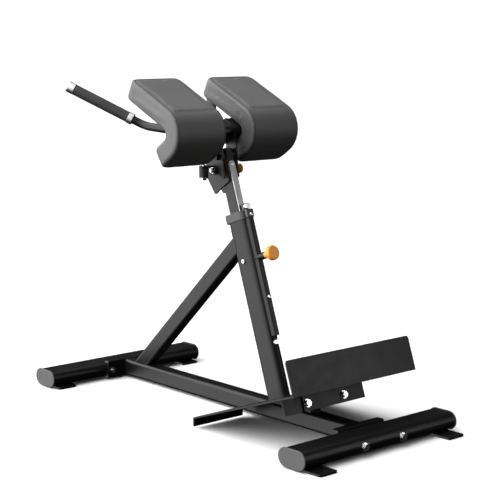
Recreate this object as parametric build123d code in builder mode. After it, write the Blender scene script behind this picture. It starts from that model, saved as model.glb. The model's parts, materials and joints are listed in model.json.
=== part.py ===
from build123d import *
import math
import os

# Roman chair (45 degree back-extension bench).
# +X runs along the machine towards the foot plate, +Y is lateral, +Z is up.
# The origin is on the floor under the middle of the outer box. All sizes in millimetres.

# ---------------------------------------------------------------- feet
foot_length = 606.0
foot_width = 100.0
foot_height = 50.0
foot_wall = 3.0
rear_foot_x = 566.0
front_foot_x = -608.0
cap_lip = 2.5
cap_thickness = 4.0
cap_plug_depth = 14.0
rubber_thickness = 2.5
tab_thickness = 4.0
tab_inner_y = 222.0
tab_outer_y = 288.0
rear_tab_reach = 44.5
front_tab_reach = 14.0
tab_overlap = 60.0
anchor_hole_d = 13.0
anchor_hole_inset = 22.0

# ---------------------------------------------------------------- main beam and its end plates
beam_width = 50.0
beam_height = 52.0
beam_bottom_z = 8.0
beam_wall = 3.0
beam_corner = 9.0
saddle_thickness = 8.0
saddle_half_y = 92.0
saddle_wrap = 12.0
saddle_top_z = 62.0
foot_bolt_y = 75.0
foot_bolt_d = 12.0
foot_bolt_head_af = 19.0
foot_bolt_head_h = 7.5
foot_washer_d = 26.0
foot_washer_t = 2.5
bolt_clearance = 0.5

# ---------------------------------------------------------------- leaning post
lean_deg = 19.1
post_u = 203.2
post_long = 80.0
post_short = 40.0
post_wall = 3.0
post_top_v = 566.0
brace_depth = 52.0
brace_width = 40.0
brace_wall = 3.0
brace_corner = 9.0
brace_deg = 43.2
brace_offset = 363.0
rail_half_y = 10.0
rail_outer_u = 257.0
rail_bottom_v = 186.0
rail_top_v = 560.0
rail_bolt_gap = 20.0
rail_bolt_head_af = 17.0
rail_bolt_head_h = 7.0
rail_bolt_standoff = 5.0
side_screw_d = 14.0
side_screw_h = 5.0
rail_screw_v = 302.0

# ---------------------------------------------------------------- sliding mast and its guides
mast_u = 200.0
mast_depth = 44.0
mast_width = 26.0
mast_wall = 3.0
mast_corner = 4.0
mast_bottom_v = 275.0
mast_top_v = 766.0
plug_flange = 3.0
plug_depth = 5.0
strip_width = 22.0
strip_thickness = 3.0
strip_bottom_v = 300.0
strip_top_v = 728.0
rivet_d = 10.0
rivet_h = 1.5
slide_clearance = 0.25
collar_height = 26.0
collar_long = 94.0
collar_short = 47.0
collar_lip = 5.0
ear_rear_u = 243.0
ear_thickness = 9.0
ear_height = 19.0
ear_half_y = 9.5
bush_depth = 70.0
lower_bush_length = 80.0
glide_length = 13.0
glide_clearance = 0.4
detent_pitch = 25.0
detents_up = 4
detents_down = 2

# ---------------------------------------------------------------- pull pins
pin_v = 423.0
pin_d = 10.0
pin_fit = 0.05
pin_head_gap = 0.6
pin_hole_d = 11.0
pin_travel = 12.0
tilt_pin_travel = 10.0
housing_d = 22.0
housing_out = 284.0
spring_chamber_d = 17.0
spring_outer_d = 15.5
spring_wire = 1.6
knob_d = 45.0
knob_neck_d = 21.0
knob_length = 37.5
knob_gap = 0.5
pin_collar_h = 3.0
housing_floor = 5.0
housing_cap = 3.0
knob_bore = 18.0
knob_face_r = 5.0

# ---------------------------------------------------------------- tilt head
pivot_v = 748.0
pivot_bolt_d = 12.0
pivot_head_af = 19.0
pivot_head_h = 7.5
sector_thickness = 6.0
sector_hole_radius = 47.0
sector_rest_deg = 225.0
sector_step_deg = 15.0
sector_steps = 2
guide_bolt_d = 10.0
guide_slot_clearance = 0.5
carriage_gap = 7.0
carriage_thickness = 5.0
washer_gap = 0.2
tilt_housing_length = 17.0
tilt_knob_d = 38.0
pivot_bush_d = 20.0
pivot_spacer_d = 26.0
carriage_top_r = 20.0
carriage_pivot_r = 26.0
carriage_lobe_r = 15.0
tongue_tip = (-31.0, 715.0)
tongue_tip_r = 6.5
guide_head_af = 15.0
guide_head_h = 6.0

# ---------------------------------------------------------------- pads and handles
pad_x = -62.6
pad_z = 848.2
pad_inner_radius = 18.0
pad_thickness = 60.0
pad_upper_deg = 25.3
pad_lower_deg = 34.0
pad_upper_leg = 199.5
pad_lower_leg = 61.0
pad_inner_y = 53.0
pad_outer_y = 239.0
pad_edge = 12.0
strap_thickness = 5.0
strap_inner_y = 96.0
strap_outer_y = 176.0
strap_upper_leg = 150.0
strap_lower_leg = 50.0
handle_tube_d = 25.4
handle_wall = 2.5
handle_arm_y = 130.0
handle_corner_radius = 45.0
handle_knee_radius = 62.0
handle_knee = (-279.0, 858.0)
handle_tip = (-462.0, 290.0, 979.0)
grip_d = 33.0
grip_length = 188.0
ring_d = 35.5
ring_length = 15.0
end_cap_d = 34.0
end_cap_length = 24.0
tube_set_back = 6.0
spacer_x = -82.0
spacer_y = 62.0
spacer_d = 28.0
spacer_top_z = 745.0
spacer_length = 30.0
spacer_tab_t = 5.0
spacer_bolt_d = 10.0
pad_bolt_af = 13.0
pad_bolt_h = 5.0

# ---------------------------------------------------------------- foot plate
plate_thickness = 5.0
plate_top_v = 4.0
plate_front_u = 88.0
plate_rear_u = 540.0
plate_half_y = 242.6
plate_corner = 10.0
lip_drop = 27.0
lip_inner_y = 54.0
beam_clearance = 3.0
heel_height = 97.0
bracket_u = 395.0
bracket_half_y = 88.0
bracket_drop = 47.0
bracket_thickness = 5.0
wing_outer_y = 160.0
plate_bolt_y = 73.0
plate_bolt_v = -26.0
plate_bolt_d = 10.0
plate_washer_d = 24.0
crosshead_thickness = 6.0
pedestal_front_x = 292.0
pedestal_rear_x = 345.0
pedestal_half_y = 20.0
pedestal_shelf_z = 88.0

# ---------------------------------------------------------------- frames and derived places
lean = math.radians(lean_deg)
post_plane = Plane(
    origin=(0, 0, 0),
    x_dir=(math.cos(lean), 0, math.sin(lean)),
    z_dir=(-math.sin(lean), 0, math.cos(lean)),
)
u_axis = post_plane.x_dir
v_axis = post_plane.z_dir
foot_z = rubber_thickness + tab_thickness + foot_height / 2
beam_top_z = beam_bottom_z + beam_height
beam_z = beam_bottom_z + beam_height / 2
pivot_xz = (
    mast_u * math.cos(lean) - pivot_v * math.sin(lean),
    mast_u * math.sin(lean) + pivot_v * math.cos(lean),
)
mast_rear_u = mast_u + mast_depth / 2
strip_rear_u = mast_rear_u + strip_thickness
plate_under_v = plate_top_v - plate_thickness
sector_outer_y = mast_width / 2 + sector_thickness
carriage_inner_y = sector_outer_y + carriage_gap
carriage_outer_y = carriage_inner_y + carriage_thickness
collar_bottom_v = post_top_v + collar_lip - collar_height
collar_top_v = post_top_v + collar_lip


def at_post(u, y, v):
    """Point given along the post's normal, sideways and up the post."""
    return post_plane.from_local_coords(Vector(u, y, v))


def polar(centre, radius, degrees):
    """Point of the side view at a radius and angle about a centre (0 = +u, 90 = +v)."""
    a = math.radians(degrees) + lean
    return (centre[0] + radius * math.cos(a), centre[1] + radius * math.sin(a))


tilt_pin_xz = polar(pivot_xz, sector_hole_radius, sector_rest_deg)


def save(builder, name):
    """Label a finished piece and write its STEP file."""
    builder.part.label = name
    export_step(builder.part, f"parts/{name}.step")


def side_sketch_plane(y):
    """Side-view plane whose local axes are +X and +Z; it extrudes towards -Y."""
    return Plane.XZ.offset(-y)


os.makedirs("parts", exist_ok=True)


# ================================================================ feet
def foot_tube(name, foot_x):
    """Flat-oval cross tube with the two bolt holes of its end plate."""
    length = foot_length - 2 * cap_thickness
    with BuildPart() as tube:
        with BuildSketch(Plane.XZ):
            with Locations((foot_x, foot_z)):
                SlotOverall(foot_width, foot_height)
                SlotOverall(
                    foot_width - 2 * foot_wall, foot_height - 2 * foot_wall, mode=Mode.SUBTRACT
                )
        extrude(amount=length / 2, both=True)
        with BuildSketch(Plane.YZ.offset(foot_x)):
            with Locations(*foot_bolt_spots):
                Circle(foot_bolt_d / 2 + bolt_clearance)
        extrude(amount=foot_width / 2 + 1, both=True, mode=Mode.SUBTRACT)
    save(tube, name)


def hexagon(across_flats):
    """Hexagon sketch of a bolt head or nut."""
    return RegularPolygon(across_flats / 2, 6, major_radius=False)


foot_bolt_spots = ((foot_bolt_y, foot_z), (-foot_bolt_y, foot_z))
feet = ((rear_foot_x, 1), (front_foot_x, -1))
foot_tube("rear_foot_tube", rear_foot_x)
foot_tube("front_foot_tube", front_foot_x)

with BuildPart() as foot_end_caps:
    for foot_x, _ in feet:
        with BuildSketch(side_sketch_plane(-foot_length / 2 + cap_thickness)):
            with Locations((foot_x, foot_z)):
                SlotOverall(foot_width + 2 * cap_lip, foot_height + 2 * cap_lip)
        extrude(amount=cap_thickness)
    fillet(foot_end_caps.faces().group_by(Axis.Y)[0].edges(), 2.2)
    for foot_x, _ in feet:
        with BuildSketch(side_sketch_plane(-foot_length / 2 + cap_thickness + cap_plug_depth)):
            with Locations((foot_x, foot_z)):
                SlotOverall(foot_width - 2 * foot_wall, foot_height - 2 * foot_wall)
        extrude(amount=cap_plug_depth)
    mirror(about=Plane.XZ)
save(foot_end_caps, "foot_end_caps")

with BuildPart() as saddle_plates:
    for foot_x, outward in feet:
        near_x = foot_x - outward * (foot_width / 2 + saddle_thickness)
        far_x = foot_x - outward * (foot_width / 2 - saddle_wrap)
        low_z = rubber_thickness + tab_thickness
        with BuildSketch(Plane.XZ):
            with Locations(((near_x + far_x) / 2, (low_z + saddle_top_z) / 2)):
                Rectangle(abs(far_x - near_x), saddle_top_z - low_z)
            with Locations((foot_x, foot_z)):
                SlotOverall(foot_width, foot_height, mode=Mode.SUBTRACT)
        extrude(amount=saddle_half_y, both=True)
    fillet(saddle_plates.edges().filter_by(Axis.X).group_by(Axis.Z)[-1], 6)
    for foot_x, outward in feet:
        with BuildSketch(Plane.YZ.offset(foot_x)):
            with Locations(*foot_bolt_spots):
                Circle(foot_bolt_d / 2 + bolt_clearance)
        extrude(amount=-outward * foot_width, mode=Mode.SUBTRACT)
save(saddle_plates, "saddle_plates")

with BuildPart() as foot_bolts:
    for foot_x, outward in feet:
        seat_x = foot_x + outward * (foot_width / 2 + foot_washer_t)
        with BuildSketch(Plane.YZ.offset(seat_x)):
            with Locations(*foot_bolt_spots):
                hexagon(foot_bolt_head_af)
        extrude(amount=outward * foot_bolt_head_h)
    head_faces = foot_bolts.faces().group_by(Axis.X)
    chamfer(head_faces[0].edges() + head_faces[-1].edges(), 1.0)
    for foot_x, outward in feet:
        seat_x = foot_x + outward * (foot_width / 2 + foot_washer_t)
        shank = foot_width + foot_washer_t + saddle_thickness + foot_bolt_head_h + 4
        with BuildSketch(Plane.YZ.offset(seat_x)):
            with Locations(*foot_bolt_spots):
                Circle(foot_bolt_d / 2)
        extrude(amount=-outward * shank)
save(foot_bolts, "foot_bolts")

with BuildPart() as foot_washers:
    for foot_x, outward in feet:
        with BuildSketch(Plane.YZ.offset(foot_x + outward * (foot_width / 2 - 6))):
            with Locations(*foot_bolt_spots):
                Circle(foot_washer_d / 2)
                Circle(foot_bolt_d / 2, mode=Mode.SUBTRACT)
        extrude(amount=outward * (foot_washer_t + 6))
        with BuildSketch(Plane.XZ):
            with Locations((foot_x, foot_z)):
                SlotOverall(foot_width, foot_height)
        extrude(amount=foot_length / 2, both=True, mode=Mode.SUBTRACT)
save(foot_washers, "foot_washers")

with BuildPart() as foot_nuts:
    for foot_x, outward in feet:
        with BuildSketch(
            Plane.YZ.offset(foot_x - outward * (foot_width / 2 + saddle_thickness))
        ):
            with Locations(*foot_bolt_spots):
                hexagon(foot_bolt_head_af)
                Circle(foot_bolt_d / 2, mode=Mode.SUBTRACT)
        extrude(amount=-outward * foot_bolt_head_h)
save(foot_nuts, "foot_nuts")

tab_top = rubber_thickness + tab_thickness
rear_face_x = rear_foot_x + foot_width / 2
front_inner_x = front_foot_x + foot_width / 2
tab_y = (tab_inner_y + tab_outer_y) / 2
tab_span = tab_outer_y - tab_inner_y
rear_tab_x = rear_face_x + (rear_tab_reach - tab_overlap) / 2
front_tab_x = front_inner_x + (front_tab_reach - tab_overlap) / 2
rear_tab_length = rear_tab_reach + tab_overlap
front_tab_length = front_tab_reach + tab_overlap


def tab_outline(tab_x, length, inset):
    """Rounded rectangle at both ends of a foot."""
    with Locations((tab_x, tab_y), (tab_x, -tab_y)):
        RectangleRounded(length - 2 * inset, tab_span - 2 * inset, 8)


def anchor_holes():
    """Floor anchor holes of the two rear tabs."""
    hole_x = rear_face_x + anchor_hole_inset
    with Locations((hole_x, tab_y), (hole_x, -tab_y)):
        Circle(anchor_hole_d / 2, mode=Mode.SUBTRACT)


with BuildPart() as rear_floor_tabs:
    with BuildSketch(Plane.XY.offset(rubber_thickness)):
        tab_outline(rear_tab_x, rear_tab_length, 0)
        anchor_holes()
    extrude(amount=tab_thickness)
save(rear_floor_tabs, "rear_floor_tabs")

with BuildPart() as front_floor_tabs:
    with BuildSketch(Plane.XY.offset(rubber_thickness)):
        tab_outline(front_tab_x, front_tab_length, 0)
    extrude(amount=tab_thickness)
save(front_floor_tabs, "front_floor_tabs")

with BuildPart() as rubber_foot_pads:
    with BuildSketch(Plane.XY):
        tab_outline(rear_tab_x, rear_tab_length, 1)
        tab_outline(front_tab_x, front_tab_length, 1)
        anchor_holes()
    extrude(amount=rubber_thickness)
save(rubber_foot_pads, "rubber_foot_pads")

# ================================================================ main beam
beam_front_x = front_foot_x + foot_width / 2 + saddle_thickness
beam_rear_x = rear_foot_x - foot_width / 2 - saddle_thickness
with BuildPart() as main_beam:
    with BuildSketch(Plane.YZ.offset(beam_front_x)):
        with Locations((0, beam_z)):
            RectangleRounded(beam_width, beam_height, beam_corner)
            RectangleRounded(
                beam_width - 2 * beam_wall,
                beam_height - 2 * beam_wall,
                beam_corner - beam_wall,
                mode=Mode.SUBTRACT,
            )
    extrude(amount=beam_rear_x - beam_front_x)
save(main_beam, "main_beam")


# ================================================================ post, brace and rail
def post_slot(inset):
    """Flat-oval outline of the post, brought in by inset all round."""
    with Locations((post_u, 0)):
        SlotOverall(post_long - 2 * inset, post_short - 2 * inset)


def below_beam_top():
    """Block that removes everything under the beam's top face."""
    with Locations((0, 0, beam_top_z - 500)):
        Box(3000, 600, 1000, mode=Mode.SUBTRACT)


with BuildPart() as post_tube:
    with BuildSketch(post_plane):
        post_slot(0)
        with Locations((post_u, 0)):
            SlotOverall(
                post_long - 2 * post_wall, post_short - 2 * post_wall, mode=Mode.SUBTRACT
            )
    extrude(amount=post_top_v)
    extrude(post_tube.faces().sort_by(Axis((0, 0, 0), v_axis))[0], amount=120)
    below_beam_top()
    with BuildSketch(Plane(at_post(post_u, 0, pin_v), x_dir=v_axis, z_dir=u_axis)):
        Circle(housing_d / 2)
    extrude(amount=post_long, mode=Mode.SUBTRACT)
save(post_tube, "post_tube")

post_flat_u = post_u - (post_long - post_short) / 2
brace_dir = Vector(math.cos(math.radians(brace_deg)), 0, math.sin(math.radians(brace_deg)))
brace_normal = Vector(-math.sin(math.radians(brace_deg)), 0, math.cos(math.radians(brace_deg)))
brace_foot = brace_normal * brace_offset
with BuildPart() as diagonal_brace:
    with BuildSketch(Plane(brace_foot - brace_dir * 620, x_dir=brace_normal, z_dir=brace_dir)):
        RectangleRounded(brace_depth, brace_width, brace_corner)
        RectangleRounded(
            brace_depth - 2 * brace_wall,
            brace_width - 2 * brace_wall,
            brace_corner - brace_wall,
            mode=Mode.SUBTRACT,
        )
    extrude(amount=1100)
    below_beam_top()
    with BuildSketch(post_plane):
        post_slot(0)
        with Locations((post_flat_u + 199.5, 0)):
            Rectangle(400, 200)
    extrude(amount=1200, both=True, mode=Mode.SUBTRACT)
save(diagonal_brace, "diagonal_brace")

with BuildPart() as rear_rail:
    with BuildSketch(post_plane.offset(rail_bottom_v)):
        with Locations(((post_u + rail_outer_u) / 2, 0)):
            Rectangle(rail_outer_u - post_u, 2 * rail_half_y)
    extrude(amount=rail_top_v - rail_bottom_v)
    outer_edges = rear_rail.faces().sort_by(Axis((0, 0, 0), u_axis))[-1].edges()
    fillet(outer_edges, 3.5)
    with BuildSketch(post_plane):
        post_slot(0)
    extrude(amount=post_top_v, mode=Mode.SUBTRACT)
    with BuildSketch(post_plane.offset(collar_bottom_v)):
        with Locations((mast_u, 0)):
            SlotOverall(collar_long, collar_short)
    extrude(amount=collar_height, mode=Mode.SUBTRACT)
    with BuildSketch(Plane(at_post(post_u, 0, pin_v), x_dir=v_axis, z_dir=u_axis)):
        Circle(housing_d / 2)
    extrude(amount=post_long, mode=Mode.SUBTRACT)
save(rear_rail, "rear_rail")

post_rear_u = post_u + post_long / 2
with BuildPart() as rail_bolts:
    for bolt_v, seat_u in (
        (rail_bottom_v - rail_bolt_gap, post_rear_u),
        (collar_top_v + ear_height / 2, ear_rear_u),
    ):
        with BuildSketch(Plane(at_post(seat_u, 0, bolt_v), x_dir=v_axis, z_dir=u_axis)):
            Circle(rail_bolt_head_af / 2 + 1)
        extrude(amount=rail_bolt_standoff)
        seat = at_post(seat_u + rail_bolt_standoff, 0, bolt_v)
        with BuildSketch(Plane(seat, x_dir=v_axis, z_dir=u_axis)):
            hexagon(rail_bolt_head_af)
        extrude(amount=rail_bolt_head_h)
save(rail_bolts, "rail_bolts")



def side_screws(name, spots):
    """Low round screw heads; each spot is a seat point and its outward direction."""
    with BuildPart() as screws:
        for seat, outward in spots:
            with BuildSketch(Plane(seat, z_dir=outward)):
                Circle(side_screw_d / 2)
            extrude(amount=side_screw_h, taper=12)
            with BuildSketch(Plane(seat + Vector(*outward) * side_screw_h, z_dir=outward)):
                hexagon(side_screw_d * 0.4)
            extrude(amount=-side_screw_h * 0.5, mode=Mode.SUBTRACT)
    save(screws, name)


side_screws(
    "guide_screws",
    [
        (at_post(post_u, side * post_short / 2, pin_v), (0, side, 0))
        for side in (1, -1)
    ],
)
side_screws(
    "rail_screws",
    [
        (at_post(rail_outer_u - side_screw_d / 2 + 1, -rail_half_y, rail_screw_v), (0, -1, 0)),
        (at_post(post_u - post_long / 2, 0, rail_screw_v), -u_axis),
    ],
)

# ================================================================ guides inside the post
opening_u = (mast_u - mast_depth / 2 + strip_rear_u) / 2
opening_long = mast_depth + strip_thickness + 2 * slide_clearance
opening_short = mast_width + 2 * slide_clearance


def mast_opening():
    """Rectangular way for the mast and its strip."""
    with Locations((opening_u, 0)):
        Rectangle(opening_long, opening_short, mode=Mode.SUBTRACT)


def post_liner():
    """Flat-oval outline that fills the inside of the post, with the mast's way through it."""
    with Locations((post_u, 0)):
        SlotOverall(post_long - 2 * post_wall, post_short - 2 * post_wall)
    mast_opening()


with BuildPart() as upper_guide_bush:
    with BuildSketch(post_plane.offset(collar_bottom_v)):
        with Locations((mast_u, 0)):
            SlotOverall(collar_long, collar_short)
    extrude(amount=collar_height)
    fillet(upper_guide_bush.faces().sort_by(Axis((0, 0, 0), v_axis))[-1].edges(), 2)
    with BuildSketch(post_plane.offset(collar_bottom_v)):
        post_slot(0)
    extrude(amount=post_top_v - collar_bottom_v, mode=Mode.SUBTRACT)
    with BuildSketch(post_plane.offset(collar_top_v - collar_lip)):
        with Locations((ear_rear_u - ear_thickness / 2, 0)):
            Rectangle(ear_thickness, 2 * ear_half_y)
    extrude(amount=collar_lip + ear_height)
    with BuildSketch(post_plane.offset(post_top_v)):
        post_liner()
    extrude(amount=-bush_depth)
    with BuildSketch(post_plane.offset(post_top_v)):
        with Locations((opening_u, 0)):
            Rectangle(opening_long, opening_short)
    extrude(amount=collar_lip, mode=Mode.SUBTRACT)
save(upper_guide_bush, "upper_guide_bush")

with BuildPart() as lower_guide_bush:
    with BuildSketch(post_plane.offset(pin_v - lower_bush_length / 2)):
        post_liner()
    extrude(amount=lower_bush_length)
    with BuildSketch(Plane(at_post(post_u, 0, pin_v), x_dir=v_axis, z_dir=u_axis)):
        Circle(pin_hole_d / 2)
    extrude(amount=post_long, mode=Mode.SUBTRACT)
save(lower_guide_bush, "lower_guide_bush")

# ================================================================ mast
detent_rows = [pin_v - detent_pitch * step for step in range(-detents_down, detents_up + 1)]


def detent_holes(from_u, depth):
    """Row of pin holes, drilled along the post's normal."""
    for row_v in detent_rows:
        with BuildSketch(Plane(at_post(from_u, 0, row_v), x_dir=v_axis, z_dir=u_axis)) as hole:
            Circle(pin_hole_d / 2)
        extrude(hole.sketch, amount=depth, mode=Mode.SUBTRACT)


with BuildPart() as mast_tube:
    with BuildSketch(post_plane.offset(mast_bottom_v)):
        with Locations((mast_u, 0)):
            RectangleRounded(mast_depth, mast_width, mast_corner)
            Rectangle(
                mast_depth - 2 * mast_wall, mast_width - 2 * mast_wall, mode=Mode.SUBTRACT
            )
    extrude(amount=mast_top_v - mast_bottom_v)
    detent_holes(mast_rear_u - mast_wall - 1, mast_wall + 2)
    with BuildSketch(side_sketch_plane(0)):
        with Locations(pivot_xz):
            Circle(pivot_bush_d / 2)
    extrude(amount=mast_width, both=True, mode=Mode.SUBTRACT)
save(mast_tube, "mast_tube")

with BuildPart() as mast_strip:
    with BuildSketch(Plane(at_post(mast_rear_u, 0, 0), x_dir=(0, 1, 0), z_dir=u_axis)) as outline:
        with Locations((0, (strip_bottom_v + strip_top_v) / 2)):
            RectangleRounded(strip_width, strip_top_v - strip_bottom_v, strip_width * 0.4)
    extrude(amount=strip_thickness)
    detent_holes(mast_rear_u - 1, strip_thickness + 2)
save(mast_strip, "mast_strip")

with BuildPart() as strip_rivet:
    rivet_seat = at_post(strip_rear_u, 0, strip_top_v - strip_width * 0.55)
    with BuildSketch(Plane(rivet_seat, x_dir=v_axis, z_dir=u_axis)):
        Circle(rivet_d / 2)
    extrude(amount=rivet_h)
    fillet(strip_rivet.faces().sort_by(Axis((0, 0, 0), u_axis))[-1].edges(), rivet_h * 0.6)
save(strip_rivet, "strip_rivet")

with BuildPart() as mast_glide:
    with BuildSketch(post_plane.offset(mast_bottom_v)):
        with Locations((post_u, 0)):
            SlotOverall(
                post_long - 2 * post_wall - 2 * glide_clearance,
                post_short - 2 * post_wall - 2 * glide_clearance,
            )
    extrude(amount=-glide_length)
    with BuildSketch(post_plane.offset(mast_bottom_v)):
        with Locations((mast_u, 0)):
            Rectangle(mast_depth - 2 * mast_wall, mast_width - 2 * mast_wall)
    extrude(amount=glide_length)
save(mast_glide, "mast_glide")

with BuildPart() as mast_top_plug:
    with BuildSketch(post_plane.offset(mast_top_v)):
        with Locations((mast_u, 0)):
            RectangleRounded(mast_depth, mast_width, mast_corner)
    extrude(amount=plug_flange)
    with BuildSketch(post_plane.offset(mast_top_v)):
        with Locations((mast_u, 0)):
            Rectangle(mast_depth - 2 * mast_wall, mast_width - 2 * mast_wall)
    extrude(amount=-plug_depth)
save(mast_top_plug, "mast_top_plug")

# ================================================================ tilt head on the mast


def uv_plane(y):
    """Side-view plane at one y with local axes along the post's normal and up the post."""
    return Plane(origin=(0, y, 0), x_dir=u_axis, z_dir=(0, -1, 0))


def sector_outline():
    """Plate welded on the mast's side, with a lobe in front that holds the tilt holes."""
    with BuildLine() as outline:
        FilletPolyline(
            (mast_rear_u - 6, 668),
            (mast_u - mast_depth / 2, 659),
            (139, 645),
            (119.5, 702),
            (130, 756),
            (165, pivot_v + 22),
            (mast_rear_u - 6, pivot_v + 22),
            close=True,
            radius=5,
        )
    make_face(outline.edges())


sector_centre = (mast_u, pivot_v)
detent_degs = [sector_rest_deg - sector_step_deg * step for step in range(sector_steps + 1)]
with BuildPart() as near_sector_plate:
    with BuildSketch(uv_plane(-mast_width / 2)):
        sector_outline()
        with Locations(sector_centre):
            Circle(pivot_bush_d / 2, mode=Mode.SUBTRACT)
    extrude(amount=sector_thickness)
    with BuildSketch(uv_plane(-mast_width / 2)):
        with BuildLine() as slot_path:
            CenterArc(
                sector_centre,
                sector_hole_radius,
                detent_degs[-1],
                detent_degs[0] - detent_degs[-1],
            )
        SlotArc(slot_path.wires()[0], guide_bolt_d + 2 * guide_slot_clearance)
    extrude(amount=2 * sector_thickness, both=True, mode=Mode.SUBTRACT)
save(near_sector_plate, "near_sector_plate")

with BuildPart() as far_sector_plate:
    with BuildSketch(uv_plane(mast_width / 2)):
        sector_outline()
        with Locations(sector_centre):
            Circle(pivot_bush_d / 2, mode=Mode.SUBTRACT)
        for hole_deg in detent_degs:
            hole_angle = math.radians(hole_deg)
            hole_u = mast_u + sector_hole_radius * math.cos(hole_angle)
            hole_v = pivot_v + sector_hole_radius * math.sin(hole_angle)
            with Locations((hole_u, hole_v)):
                Circle(pin_hole_d / 2, mode=Mode.SUBTRACT)
    extrude(amount=-sector_thickness)
save(far_sector_plate, "far_sector_plate")


def ring_part(name, centre, outer_d, inner_d, y_low, y_high, both_sides=False):
    """Plain sleeve or ring along Y."""
    with BuildPart() as ring:
        with BuildSketch(side_sketch_plane(y_high)):
            with Locations(centre):
                Circle(outer_d / 2)
                Circle(inner_d / 2, mode=Mode.SUBTRACT)
        extrude(amount=y_high - y_low)
        if both_sides:
            mirror(about=Plane.XZ)
    save(ring, name)


ring_part(
    "pivot_bush", pivot_xz, pivot_bush_d, pivot_bolt_d + 2 * pin_fit, -sector_outer_y, sector_outer_y
)
ring_part(
    "pivot_spacers",
    pivot_xz,
    pivot_spacer_d,
    pivot_bolt_d + 2 * pin_fit,
    sector_outer_y + washer_gap,
    carriage_inner_y,
    both_sides=True,
)


# ================================================================ carriage that tilts with the pads
def linked_discs(first, first_r, second, second_r):
    """Two discs and the straight-sided web that joins them."""
    first_disc = Pos(*first) * Circle(first_r, mode=Mode.PRIVATE)
    second_disc = Pos(*second) * Circle(second_r, mode=Mode.PRIVATE)
    make_hull(first_disc.edges() + second_disc.edges())


def carriage_outline(tilt_hole_r):
    """Side plate: a web up to the cross bar, a lobe for the tilt pin and a tapered tongue."""
    linked_discs((pad_x, pad_z), carriage_top_r, pivot_xz, carriage_pivot_r)
    linked_discs(pivot_xz, carriage_pivot_r - 5, tilt_pin_xz, carriage_lobe_r)
    linked_discs(pivot_xz, carriage_pivot_r - 5, tongue_tip, tongue_tip_r)
    with Locations((pad_x, pad_z)):
        Circle(handle_tube_d / 2, mode=Mode.SUBTRACT)
    with Locations(pivot_xz):
        Circle(pivot_bolt_d / 2 + pin_fit, mode=Mode.SUBTRACT)
    with Locations(tilt_pin_xz):
        Circle(tilt_hole_r, mode=Mode.SUBTRACT)


with BuildPart() as near_carriage_plate:
    with BuildSketch(side_sketch_plane(-carriage_inner_y)):
        carriage_outline(guide_bolt_d / 2)
    extrude(amount=carriage_thickness)
save(near_carriage_plate, "near_carriage_plate")

with BuildPart() as far_carriage_plate:
    with BuildSketch(side_sketch_plane(carriage_outer_y)):
        carriage_outline(housing_d / 2)
    extrude(amount=carriage_thickness)
save(far_carriage_plate, "far_carriage_plate")

with BuildPart() as pivot_bolt:
    with BuildSketch(side_sketch_plane(-carriage_outer_y)):
        with Locations(pivot_xz):
            hexagon(pivot_head_af)
    extrude(amount=pivot_head_h)
    chamfer(pivot_bolt.faces().sort_by(Axis.Y)[0].edges(), 1)
    with BuildSketch(side_sketch_plane(-carriage_outer_y)):
        with Locations(pivot_xz):
            Circle(pivot_bolt_d / 2)
    extrude(amount=-(2 * carriage_outer_y + pivot_head_h + 3))
save(pivot_bolt, "pivot_bolt")

with BuildPart() as pivot_nut:
    with BuildSketch(side_sketch_plane(carriage_outer_y)):
        with Locations(pivot_xz):
            hexagon(pivot_head_af)
            Circle(pivot_bolt_d / 2, mode=Mode.SUBTRACT)
    extrude(amount=-pivot_head_h)
save(pivot_nut, "pivot_nut")

with BuildPart() as tilt_guide_bolt:
    with BuildSketch(side_sketch_plane(-carriage_outer_y)):
        with Locations(tilt_pin_xz):
            Circle(guide_head_af / 2 + 2)
    extrude(amount=2)
    with BuildSketch(side_sketch_plane(-carriage_outer_y - 2)):
        with Locations(tilt_pin_xz):
            hexagon(guide_head_af)
    extrude(amount=guide_head_h)
    chamfer(tilt_guide_bolt.faces().sort_by(Axis.Y)[0].edges(), 1)
    with BuildSketch(side_sketch_plane(-carriage_outer_y)):
        with Locations(tilt_pin_xz):
            Circle(guide_bolt_d / 2)
    extrude(amount=-(carriage_outer_y - mast_width / 2 + 3))
save(tilt_guide_bolt, "tilt_guide_bolt")


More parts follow.
